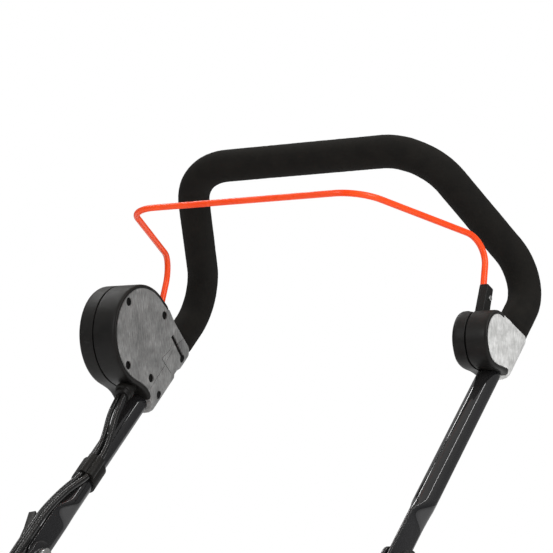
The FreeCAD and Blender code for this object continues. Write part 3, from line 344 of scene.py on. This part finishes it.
def makeFinish(name, look):
    material = bpy.data.materials.new(name)
    material.use_nodes = True
    tree = material.node_tree
    shader = tree.nodes["Principled BSDF"]
    grain = groupNode(tree, grainGroup, {"Fine": look["fine"], "Blotch": look["blotch"],
                                         "Stretch": look.get("stretch", 1.0)})
    scuffs = groupNode(tree, scuffGroup, {"Amount": look["scuff"]})
    dust = groupNode(tree, dustGroup, {"Amount": look["dust"] * effects["dust"]["gain"]})
    colour = mixColours(tree, grain.outputs["Patch"], (*look["tone"], 1), (*look["patch"], 1))
    if "brush" in look:
        colour = brushed(tree, colour, look["brush"])
    if look["scuff"] > 0 and look.get("metal", 0) == 0:
        colour = mixColours(tree, scuffs.outputs["Mask"], colour, scuffTone)
    if look["dust"] > 0:
        colour = mixColours(tree, dust.outputs["Mask"], colour, dustTone)
    tree.links.new(colour, shader.inputs["Base Color"])
    rough = stretched(tree, grain.outputs["Patch"], wholeWindow, *look["rough"])
    worn = combined(tree, "ADD", rough, scuffs.outputs["Mask"], True)
    tree.links.new(worn, shader.inputs["Roughness"])
    bump = addNode(tree, "ShaderNodeBump", None,
                   {"Height": grain.outputs["Height"], "Strength": bumpStrength,
                    "Distance": look["depth"] * mm})
    tree.links.new(bump.outputs["Normal"], shader.inputs["Normal"])
    shader.inputs["Metallic"].default_value = look.get("metal", 0.0)
    shader.inputs["Specular IOR Level"].default_value = look.get("spec", 0.5)
    return material


finishOf = {name: makeFinish(name, look) for name, look in finishes.items()}

print("stage: mesh helpers")

# points this close are joined, in metres
weldGap, cadWeldGap = 1e-6, 2e-6
# degrees: below the first, flats are joined; above the others, an edge is rounded or drawn sharp
flatAngle, cadBevelAngle, housingSharp, cadSharp = 1.0, 32, 32, 34


def newPiece(name, verts, faces, body, slot, finish, replaced=(), smooth=40):
    # verts are in metres in the mower's frame
    mesh = bpy.data.meshes.new(name)
    mesh.from_pydata([tuple(vert) for vert in verts], [], faces)
    tidy = bmesh.new()
    tidy.from_mesh(mesh)
    bmesh.ops.remove_doubles(tidy, verts=tidy.verts, dist=weldGap)
    bmesh.ops.recalc_face_normals(tidy, faces=tidy.faces)
    tidy.to_mesh(mesh)
    tidy.free()
    return dress(placed(name, mesh), body, finish, replaced, smooth)


def dress(piece, body, finish, replaced=(), smooth=40):
    # the piece's finish, its sharp edges, what it rides on and what it stands in for
    piece.data.materials.clear()
    piece.data.materials.append(finishOf[finish])
    piece.data.shade_smooth()
    piece.data.set_sharp_from_angle(angle=math.radians(smooth))
    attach(piece, body)
    if replaced:
        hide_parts(*replaced)
    return piece


def applied(piece):
    # the mesh with its modifiers carried out
    depsgraph = bpy.context.evaluated_depsgraph_get()
    mesh = bpy.data.meshes.new_from_object(piece.evaluated_get(depsgraph))
    piece.modifiers.clear()
    piece.data = mesh
    return piece


def roundEdges(piece, width, segments=3, angle=35):
    bevel = piece.modifiers.new("bevel", "BEVEL")
    bevel.width, bevel.segments, bevel.limit_method = width * mm, segments, "ANGLE"
    bevel.angle_limit = math.radians(angle)
    bevel.use_clamp_overlap = True
    return applied(piece)


def bentPath(points, radii, step=3.0):
    # straight runs joined by tangent arcs, in millimetres, sampled evenly
    corners = [Vector(point) for point in points]
    path = [corners[0]]

    def walk(target):
        start = path[-1]
        count = max(1, round((target - start).length / step))
        path.extend(start.lerp(target, number / count) for number in range(1, count + 1))

    for before, corner, after, radius in zip(corners, corners[1:], corners[2:], radii):
        back, ahead = (before - corner).normalized(), (after - corner).normalized()
        turn = math.pi - back.angle(ahead)
        reach = radius * math.tan(turn / 2)
        centre = corner + (back + ahead).normalized() * radius / math.cos(turn / 2)
        walk(corner + back * reach)
        first = path[-1] - centre
        axis = first.cross(corner + ahead * reach - centre).normalized()
        count = max(4, round(turn * radius / step))
        path.extend(centre + Quaternion(axis, turn * number / count) @ first
                    for number in range(1, count + 1))
    walk(corners[-1])
    return path


def turningRings(path):
    # each point of the path with the two axes of its section, carried along without twist
    side = Vector((1, 0, 0))
    for index, here in enumerate(path):
        before, after = path[max(index - 1, 0)], path[min(index + 1, len(path) - 1)]
        run = (after - before).normalized()
        side = (side - run * side.dot(run)).normalized()
        yield here, side, run.cross(side)


def sweep(path, section, around):
    # section(index, angle) gives a point in the plane of the path's ring of that index
    verts, faces = [], []
    for index, (here, side, other) in enumerate(turningRings(path)):
        for number in range(around):
            across, up = section(index, math.tau * number / around)
            verts.append(handleFrame @ ((here + side * across + other * up) * mm))
    for index in range(len(path) - 1):
        for number in range(around):
            here, after = index * around + number, index * around + (number + 1) % around
            faces.append((here, after, after + around, here + around))
    faces.append(tuple(reversed(range(around))))
    faces.append(tuple(range((len(path) - 1) * around, len(path) * around)))
    return verts, faces


def roundEnd(index, last, radius, lip):
    # the radius left near the ends of a tube whose rims are rounded
    gap = min(index, last - index)
    steps = 4
    if gap >= steps:
        return radius
    return radius - lip * (1 - math.sin(math.pi / 2 * gap / steps))


print("stage: handle tubes and grip")

# Millimetres. "flat" and "neck" shape the pressed ends. The path stops short of the nose's tip by the gap,
# where the tube keeps the least half width, and the squares say how far its round section turns into a box.
handle = {"half": 202.5, "tubeRadius": 11, "lowerHalf": 196.4, "cornerX": 140, "cornerY": 180.6, "top": 415,
          "drop": 10.3, "bend": 45, "gripBend": 67, "foamRadius": 17, "foamLeft": 326.5, "foamRight": 331.5,
          "lowerReach": 588, "flatHalf": 3, "flatWide": 14.5, "neckStart": 52, "neckEnd": 76, "noseGap": 0.2,
          "noseLeast": 0.6, "squareAcross": 0.55, "squareAlong": 0.25, "around": 48}


def gripPoints(lowLeft, lowRight):
    half, x, y, top = handle["half"], handle["cornerX"], handle["cornerY"], handle["top"]
    high = top - handle["drop"]
    return [(-half, 0, lowLeft), (-half, 0, top), (-x, y, high), (x, y, high), (half, 0, top),
            (half, 0, lowRight)]


gripRadii = [handle["bend"], handle["gripBend"], handle["gripBend"], handle["bend"]]


def pressed(distance):
    # half widths across X and Y of a tube that is pressed flat towards its end, and how flat it is there
    flat, wide, full = handle["flatHalf"], handle["flatWide"], handle["tubeRadius"]
    share = min(1, max(0, (distance - handle["neckStart"]) / (handle["neckEnd"] - handle["neckStart"])))
    ease = share * share * (3 - 2 * share)
    across, along = flat + (full - flat) * ease, wide + (full - wide) * ease
    if distance < 0:
        along *= math.sqrt(max(0.0, 1 - (distance / wide) ** 2))
    return across, max(along, handle["noseLeast"]), 1 - ease


def pressedTube(name, path, ends, body, replaced):
    # ends: the heights of the bolt holes; None where the tube has no second one
    def section(index, angle):
        height = path[index].z
        distance = abs(height - ends[0]) * (1 if height >= ends[0] else -1)
        if ends[1] is not None and abs(height - ends[1]) < abs(height - ends[0]):
            distance = ends[1] - height
        across, along, flatness = pressed(distance)
        cosine, sine = math.cos(angle), math.sin(angle)
        return (math.copysign(abs(cosine) ** (1 - handle["squareAcross"] * flatness), cosine) * across,
                math.copysign(abs(sine) ** (1 - handle["squareAlong"] * flatness), sine) * along)

    newPiece(name, *sweep(path, section, handle["around"]), body, "black_tube", "blackCoat", replaced)


def makeTubes():
    low = -handle["flatWide"] + handle["noseGap"]
    path = bentPath(gripPoints(low, low), gripRadii)
    pressedTube("upperTube", path, (0, None), "upper_handle", ["upper_handle_tube"])
    foot = -handle["lowerReach"]
    for side, word in ((-1, "left"), (1, "right")):
        x = side * handle["lowerHalf"]
        path = bentPath([(x, 0, foot + low), (x, 0, -low)], [])
        pressedTube("lowerTube." + word, path, (foot, 0), "base", ["lower_handle_" + word])


# Millimetres: the heights of the foam's cells, waves and one wrinkle, and how fast each changes from place to
# place. "probe" is how far the noise moves with the place and with the angle around the tube.
foam = {"cell": 0.16, "cellRate": 9, "cellPlace": 0.5, "wave": 0.12, "waveRate": 2, "probe": (0.03, 0.4),
        "wrinkle": 0.55, "wrinkleAt": (-140, 180.6, 404.7), "wrinkleReach": 15, "wrinkleEnd": 2,
        "wrinkleRate": 5.0, "wrinkleTurn": 2, "lip": 3.0, "step": 2.0, "around": 64, "sharp": 60, "fill": 0.9}


def makeFoam():
    path = bentPath(gripPoints(handle["foamLeft"], handle["foamRight"]), gripRadii, foam["step"])
    last = len(path) - 1
    crease = Vector(foam["wrinkleAt"])
    along, aside = foam["probe"]

    def section(index, angle):
        here = path[index]
        radius = roundEnd(index, last, handle["foamRadius"], foam["lip"])
        probe = here * along + Vector((math.cos(angle), math.sin(angle), 0)) * aside
        radius += foam["wave"] * noise.noise(probe * foam["waveRate"])
        radius += foam["cell"] * noise.noise(here * foam["cellPlace"] + probe * foam["cellRate"])
        gap = (here - crease).length / foam["wrinkleReach"]
        if gap < foam["wrinkleEnd"]:
            ripple = math.sin(gap * foam["wrinkleRate"] + foam["wrinkleTurn"] * math.sin(angle))
            radius += foam["wrinkle"] * math.exp(-gap * gap) * ripple
        return math.cos(angle) * radius, math.sin(angle) * radius

    verts, faces = sweep(path, section, foam["around"])
    piece = newPiece("foamGrip", verts, faces, "upper_handle", "foam", "foamSkin", ["foam_grip"],
                     foam["sharp"])


makeTubes()
makeFoam()

print("stage: bail")

# Millimetres. "share" is how far up the left leg the rod starts, inside the bracket.
bail = {"radius": 3.25, "bendX": 190.6, "bendY": 85.6, "bendZ": 372.6, "topX": 133, "topY": 217, "topZ": 279,
        "pivotY": 33, "pivotZ": 280, "footRight": 193.2, "footLeft": 196, "share": 0.26,
        "bends": (26, 40, 40, 26, 9), "axleEnd": 228.5, "lip": 0.8, "step": 2.0, "around": 28}


def makeBail():
    y, z = bail["pivotY"], bail["pivotZ"]
    bend, top = (bail["bendY"], bail["bendZ"]), (bail["topY"], bail["topZ"])
    foot = (y + (bend[0] - y) * bail["share"], z + (bend[1] - z) * bail["share"])
    points = [(-bail["footLeft"], *foot), (-bail["bendX"], *bend), (-bail["topX"], *top),
              (bail["topX"], *top), (bail["bendX"], *bend), (bail["footRight"], y, z), (bail["axleEnd"], y, z)]
    path = bentPath(points, bail["bends"], bail["step"])
    last = len(path) - 1

    def section(index, angle):
        radius = roundEnd(index, last, bail["radius"], bail["lip"])
        return math.cos(angle) * radius, math.sin(angle) * radius

    newPiece("bailRod", *sweep(path, section, bail["around"]), "bail", "orange_coat", "orangeCoat",
             ["bail_rod"])


makeBail()

bodyOf = {node: body for body, members in frame["record"]["behaviour"]["bodies"].items() for node in members}
slotOf = {part["node"]: part["material_slot"] for part in frame["record"]["subparts"]}

print("stage: control housings")

# A drum (y, z, radius) blended into a tail that wraps the tube. Millimetres, heights from the fold joint.
# "tail" is the height of its lower and upper edges at the tube and how much each falls per millimetre
# towards the front. "near" and "far" are the two faces' distances from the mower's middle, "face" is the one
# that carries the plate, and "covers" is how far forward the plate's skirt runs, low and high. The outline is
# found by rays from the "eye". "wells" are the screws' places, "opening" is the slot that the bail swings in,
# and "waist" is the stretch of the tail with a shallower back.
housings = {
    "switchBox": {"side": 1, "drum": (61, 272.8, 54.2), "tail": (236, 331, 0.0, 0.10), "near": 184.5,
                  "far": 232, "face": "near", "seam": 213.5, "covers": (3, 54), "eye": (30, 278),
                  "finish": "greyFace",
                  "wells": [(105.5, 273.5), (56, 228.5), (19, 252), (53.5, 316.5), (-4.5, 252),
                            (-3.5, 312.5)],
                  "opening": ((187.8, 198.1), (22, 74), (302, 350)), "waist": (291, 309)},
    "pivotBox": {"side": -1, "drum": (34.5, 277.5, 28.2), "tail": (268, 326.5, 0.45, 0.53), "near": 182.5,
                 "far": 220.5, "face": "far", "seam": 197, "covers": (-5, 44), "eye": (22, 286),
                 "finish": "silverFace", "wells": [(47, 266), (11, 281)],
                 "opening": ((188.3, 203.7), (14, 66), (289, 350)), "waist": None},
}
# "longest" and "halvings" set the search for the outline, and "fade" is the length over which the skirt
# gives way to the lip. Under the skirt the shell draws back by "tuck", up to "rimRoom" before the seam.
housingShape = {"wrap": 18.5, "corner": 6, "blend": 11, "rays": 200, "waistDeep": 2.6, "longest": 110.0,
                "halvings": 15, "fade": 7, "probeIn": 2, "tuck": 0.8, "rimRoom": 2}
# Ring profiles from the face inwards: depth below the face and inset from the outline. The rim's depths
# count from the seam. The plate's rings are given twice: beside the lip, and where its skirt wraps the tube.
lipProfile = [(1.2, 9), (1.2, 3.8), (0.5, 3.6), (0.0, 2.9), (0.1, 1.9), (0.8, 0.8), (2.0, 0.2), (3.8, 0.0),
              (7, 0.0), (11, 0.0), (15, 0.0)]
rimProfile = [(-1.2, 0.0), (-0.7, 0.4), (-0.35, 1.5), (-0.35, 2.4)]
liningProfile = [(13, 2.4), (6, 2.6), (3.4, 4.2), (3.2, 9)]
plateProfile = [((0.1, 9), (0.1, 9)), ((0.0, 5.2), (0.0, 3.2)), ((0.2, 4.3), (0.2, 1.2)),
                ((0.9, 4.0), (1.3, -0.2)), ((1.6, 4.0), (4, -0.4)), ((1.6, 4.0), (8, -0.4)),
                ((1.6, 4.0), (13, -0.4)), ((1.6, 4.0), (19, -0.4)), ((1.7, 4.4), (19, 0.5)),
                ((1.7, 4.8), (8, 0.5)), ((1.7, 5.5), (2.4, 2.0)), ((1.7, 9), (1.7, 9))]


def housingField(box, x, y, z):
    # below nought inside the drum and its tail, which blend where they meet
    half = handle["half"]
    reach = (x - half) / (box["far" if x > half else "near"] - half)
    back = -housingShape["wrap"] * math.sqrt(max(0.0, 1 - reach * reach))
    if box["waist"] and box["waist"][0] < z < box["waist"][1]:
        back = min(0, back + housingShape["waistDeep"])
    low, high, lowFall, highFall = box["tail"]
    drumY, drumZ, drumRadius = box["drum"]
    corner, blend = housingShape["corner"], housingShape["blend"]
    outY = max(back - y, y - drumY) + corner
    outZ = max(z - high + highFall * y, low - lowFall * y - z) + corner
    tail = math.hypot(max(outY, 0), max(outZ, 0)) + min(max(outY, outZ), 0) - corner
    drum = math.hypot(y - drumY, z - drumZ) - drumRadius
    mix = min(1, max(0, 0.5 + (tail - drum) / (2 * blend)))
    return tail + (drum - tail) * mix - blend * mix * (1 - mix)


def housingPoint(box, x, inset, angle):
    # where the ray from the eye at this angle meets the outline, drawn in by the inset
    eyeY, eyeZ = box["eye"]
    across, up = math.cos(angle), math.sin(angle)
    near, far = 0.0, housingShape["longest"]
    for _ in range(housingShape["halvings"]):
        middle = (near + far) / 2
        if housingField(box, x, eyeY + across * middle, eyeZ + up * middle) < -inset:
            near = middle
        else:
            far = middle
    return eyeY + across * near, eyeZ + up * near


def covered(box, y, z):
    # how fully the plate's skirt, not the black lip, makes the edge here
    limit = box["covers"][1 if z > box["eye"][1] else 0]
    share = min(1, max(0, (limit - y) / housingShape["fade"] + 0.5))
    return share * share * (3 - 2 * share)


def housingLoft(name, box, face, profile, finish, slot, replaced):
    # profile(share) gives the rings for a point where the plate's skirt has that share of the edge
    inwards = 1 if face == "near" else -1
    rays = housingShape["rays"]
    columns = []
    for number in range(rays):
        angle = math.tau * number / rays
        share = 0
        if face == box["face"]:
            share = covered(box, *housingPoint(box, box[face] + inwards * housingShape["probeIn"], 0, angle))
        column = []
        for depth, inset in profile(share):
            x = box[face] + inwards * depth
            y, z = housingPoint(box, x, inset, angle)
            column.append(onHandle(box["side"] * x, y, z))
        columns.append(column)
    count = len(columns[0])
    verts = [vert for column in columns for vert in column]
    faces = [(a * count + ring, b * count + ring, b * count + ring + 1, a * count + ring + 1)
             for a, b in ((number, (number + 1) % rays) for number in range(rays))
             for ring in range(count - 1)]
    faces.append(tuple(number * count for number in range(rays)))
    faces.append(tuple(number * count + count - 1 for number in reversed(range(rays))))
    return newPiece(name, verts, faces, "upper_handle", slot, finish, replaced, housingSharp)


def blockMesh(shape, xs, ys, zs, turn=0.0):
    # a box, turned about the x axis where asked
    sizes = [high - low for low, high in (xs, ys, zs)]
    middle = Vector([(low + high) / 2 for low, high in (xs, ys, zs)]) * mm
    matrix = (handleFrame @ Matrix.Translation(middle) @ Matrix.Rotation(turn, 4, "X")
              @ Matrix.Diagonal((*(size * mm for size in sizes), 1)))
    bmesh.ops.create_cube(shape, size=1.0, matrix=matrix)


def drumMesh(shape, y, z, radius, xs, around=40):
    middle = Vector(((xs[0] + xs[1]) / 2, y, z)) * mm
    matrix = handleFrame @ Matrix.Translation(middle) @ Matrix.Rotation(math.pi / 2, 4, "Y")
    bmesh.ops.create_cone(shape, cap_ends=True, segments=around, radius1=radius * mm, radius2=radius * mm,
                          depth=(xs[1] - xs[0]) * mm, matrix=matrix)


def drawn(name, draw):
    # an object made of what draw(shape) puts in a mesh
    shape = bmesh.new()
    draw(shape)
    mesh = bpy.data.meshes.new(name)
    shape.to_mesh(mesh)
    shape.free()
    return placed(name, mesh)


def carve(piece, draw):
    # takes away what draw(shape) puts in a cutter
    cutter = drawn("cutter", draw)
    cutting = piece.modifiers.new("carve", "BOOLEAN")
    cutting.operation, cutting.solver, cutting.object = "DIFFERENCE", "EXACT", cutter
    cutting.use_self = True
    applied(piece)
    bpy.data.objects.remove(cutter)
    piece.data.shade_smooth()
    piece.data.set_sharp_from_angle(angle=math.radians(housingSharp))


def shellProfile(box, face):
    # outside from the face to the seam, then back along the lining
    seam = abs(box["seam"] - box[face])
    limit = seam - housingShape["rimRoom"]
    rings = [pair for pair in lipProfile if pair[0] < limit]
    rings += [(seam + past, inset) for past, inset in rimProfile]
    rings += [pair for pair in liningProfile if pair[0] < limit]

    def profile(share):
        tuck = housingShape["tuck"] * share
        return [(depth + tuck, inset + tuck) if depth < limit else (depth, inset) for depth, inset in rings]

    return profile


def plateRings(share):
    # the plate's rings part of the way from beside the lip to the skirt
    return [(a[0] + (b[0] - a[0]) * share, a[1] + (b[1] - a[1]) * share) for a, b in plateProfile]


# engraved lines on the grey plate: (y, z) to (y, z), width and depth
engraved = [((28.0, 313.2), (0.0, 313.3), 5.4, 3.0), ((21.8, 281.3), (19.3, 299.6), 0.6, 1.2),
            ((19.3, 299.6), (21.2, 308.1), 0.6, 1.2), ((21.8, 281.3), (-1.0, 284.3), 0.8, 1.5),
            ((12.8, 280.2), (11.6, 241.0), 0.5, 1.0), ((14.1, 316.9), (11.4, 329.6), 0.5, 1.0),
            ((14.2, 286.0), (15.7, 305.6), 0.5, 1.0)]
# the holes of the start button and the power inlet (y, z, radius), and the span across the mower of their cut
ports = {"holes": ((78, 250, 11.3), (75, 296, 17.2)), "xs": (226, 234), "around": 64}
# a screw's head in its well, millimetres: "top" is how far it stands above the well's floor
screwHead = {"radius": 4.2, "well": 4.7, "sunk": 2.1, "top": 0.4, "thick": 2.5, "edge": 0.5}
cutterRoom = 1


def onSide(box, low, high):
    # a span across the mower on this box's side
    return (low, high) if box["side"] > 0 else (-high, -low)


def drawWells(shape, box):
    for y, z in box["wells"]:
        drumMesh(shape, y, z, screwHead["well"],
                 onSide(box, box["near"] - cutterRoom, box["near"] + screwHead["sunk"]))


def drawScrews(shape):
    for box in housings.values():
        floor = box["near"] + screwHead["sunk"]
        for y, z in box["wells"]:
            drumMesh(shape, y, z, screwHead["radius"],
                     onSide(box, floor - screwHead["top"], floor + screwHead["thick"]))


def makeBoxScrews():
    piece = drawn("boxScrews", drawScrews)
    roundEdges(piece, screwHead["edge"])
    dress(piece, "upper_handle", "blackOxide", ["box_screws"])


def drawOpening(shape, box):
    xs, ys, zs = box["opening"]
    blockMesh(shape, onSide(box, *xs), ys, zs)


def drawLines(shape, box):
    for (y0, z0), (y1, z1), wide, deep in engraved:
        long = math.hypot(y1 - y0, z1 - z0)
        y, z = (y0 + y1) / 2, (z0 + z1) / 2
        blockMesh(shape, (box["near"] - cutterRoom, box["near"] + deep), (y - long / 2, y + long / 2),
                  (z - wide / 2, z + wide / 2), math.atan2(z1 - z0, y1 - y0))


def drawPorts(shape):
    for y, z, radius in ports["holes"]:
        drumMesh(shape, y, z, radius, ports["xs"], ports["around"])


def makeHousing(key, box):
    other = "far" if box["face"] == "near" else "near"
    node = "switch_box" if key == "switchBox" else "pivot_box"
    faces = {"near": "inner", "far": "outer"}
    for face in ("near", "far"):
        shell = housingLoft(key + faces[face].capitalize(), box, face, shellProfile(box, face), "blackMould",
                            slotOf[node + "_inner_shell"], [node + "_%s_shell" % faces[face]])
        carve(shell, lambda shape: drawOpening(shape, box))
        if face == "near":
            carve(shell, lambda shape: drawWells(shape, box))
        if node == "switch_box" and face == "far":
            carve(shell, drawPorts)
    plateNode = node + "_%s_plate" % faces[box["face"]]
    plate = housingLoft(key + "Plate", box, box["face"], plateRings, box["finish"], slotOf[plateNode],
                        [plateNode])
    carve(plate, lambda shape: drawOpening(shape, box))
    if key == "switchBox":
        carve(plate, lambda shape: drawWells(shape, box))
        carve(plate, lambda shape: drawLines(shape, box))
        back = housingLoft(key + "Back", box, other, plateRings, "blackMould", slotOf[node + "_outer_plate"],
                           [node + "_outer_plate"])
        carve(back, drawPorts)


for boxName, box in housings.items():
    makeHousing(boxName, box)
makeBoxScrews()

# the bail's left leg ends in a block that swings on the pin; measured along the leg from the pin
bracket = {"x": 196, "halfWide": 4.9, "low": 6, "top": 57.5, "halfLow": 8.2, "halfTop": 6.6, "lean": 26.6,
           "hub": 10, "screwUp": 45, "screwAcross": -1.5, "screwRadius": 2.7, "screwSpan": (-1.4, 1),
           "screwEdge": 0.5, "edge": 1.7, "edgeSegments": 4}


def makeBracket():
    lean = math.radians(bracket["lean"])

    def onLeg(x, across, up):
        # across the leg and up along it from the pin
        return (-x, bail["pivotY"] + up * math.sin(lean) + across * math.cos(lean),
                bail["pivotZ"] + up * math.cos(lean) - across * math.sin(lean))

    near, far = bracket["x"] - bracket["halfWide"], bracket["x"] + bracket["halfWide"]
    ends = ((bracket["low"], bracket["halfLow"]), (bracket["top"], bracket["halfTop"]))
    verts = [onHandle(*onLeg(x, across, up)) for up, half in ends
             for x, across in ((near, -half), (far, -half), (far, half), (near, half))]
    faces = [(0, 1, 2, 3), (7, 6, 5, 4), (0, 4, 5, 1), (1, 5, 6, 2), (2, 6, 7, 3), (3, 7, 4, 0)]
    block = newPiece("bailBracket", verts, faces, "bail", slotOf["bail_bracket"], "blackMould",
                     ["bail_bracket"])
    roundEdges(block, bracket["edge"], bracket["edgeSegments"])
    dress(block, "bail", "blackMould")
    shape = bmesh.new()
    shape.from_mesh(block.data)
    drumMesh(shape, bail["pivotY"], bail["pivotZ"], bracket["hub"], (-far, -near))
    shape.to_mesh(block.data)
    shape.free()
    _, y, z = onLeg(0, bracket["screwAcross"], bracket["screwUp"])
    span = tuple(past - far for past in bracket["screwSpan"])
    screw = drawn("bracketScrew", lambda shape: drumMesh(shape, y, z, bracket["screwRadius"], span))
    roundEdges(screw, bracket["screwEdge"])
    dress(screw, "bail", "zincPlate", ["bracket_screw"])


makeBracket()

print("stage: carried-over parts, edges rounded")


def softened(node, name, body, finish, width):
    # the CAD part's own shape with its flats joined and its edges rounded
    mesh = cadNodes[node].data.copy()
    piece = placed(name, mesh)
    shape = bmesh.new()
    shape.from_mesh(mesh)
    bmesh.ops.remove_doubles(shape, verts=shape.verts, dist=cadWeldGap)
    bmesh.ops.dissolve_limit(shape, angle_limit=math.radians(flatAngle), verts=shape.verts, edges=shape.edges)
    shape.to_mesh(mesh)
    shape.free()
    if width > 0:
        roundEdges(piece, width, angle=cadBevelAngle)
    dress(piece, body, finish, [node], cadSharp)


# finish and edge rounding in millimetres for each part that keeps its CAD shape
carried = {
    "power_inlet": ("blackMould", 0.5), "inlet_pins": ("brassPin", 0.4),
    "micro_switches": ("blackMould", 0.5), "cable_gland": ("blackMould", 0.8),
    "cable_clip_upper": ("blackMould", 0.5),
    "cable_clip_lower": ("blackMould", 0.5), "bail_pin": ("zincPlate", 0.3),
    "switch_lever": ("blackMould", 0.5), "start_button": ("orangeMould", 0.9),
    "cam_lever_left": ("blackMould", 1.4), "cam_lever_right": ("blackMould", 1.4),
    "fold_bolts": ("zincPlate", 0.4), "foot_bolts": ("zincPlate", 0.4), "deck_bolts": ("zincPlate", 0.4),
    "axle_nuts": ("zincPlate", 0.5), "handle_brackets": ("blackCoat", 0.8), "deck_shell": ("deckCoat", 0.8),
    "front_axle": ("groundSteel", 0.8), "rear_axle": ("groundSteel", 0.8), "axle_blocks": ("blackMould", 1.2),
    "flap_rod": ("blackCoat", 0.5), "flap_ears": ("zincPlate", 0.5), "rear_flap": ("blackMould", 1.2),
    "motor_hood": ("orangeMould", 1.2), "hood_gland": ("blackMould", 0.8), "motor_plate": ("zincPlate", 0.6),
    "motor_can": ("castAlloy", 1.0), "motor_stator": ("windingCopper", 1.0), "spindle": ("groundSteel", 0.6),
    "motor_rotor": ("groundSteel", 0.8), "blade_hub": ("castAlloy", 0.8), "blade": ("groundSteel", 0.4),
    "blade_nut": ("zincPlate", 0.6),
}
for end in ("front", "rear"):
    for word in ("left", "right"):
        carried["%s_%s_tyre" % (end, word)] = ("tyreRubber", 3.0)
        carried["%s_%s_rim" % (end, word)] = ("wheelMould", 1.0)
for lead in ("motor_lead_upper", "signal_lead_upper", "motor_lead_lower", "signal_lead_lower"):
    carried[lead] = ("cableSheath", 0)


def pieceName(node):
    words = node.split("_")
    return words[0] + "".join(word.capitalize() for word in words[1:])


for node, (finish, width) in carried.items():
    softened(node, pieceName(node), bodyOf[node], finish, width)

print("stage: finish")
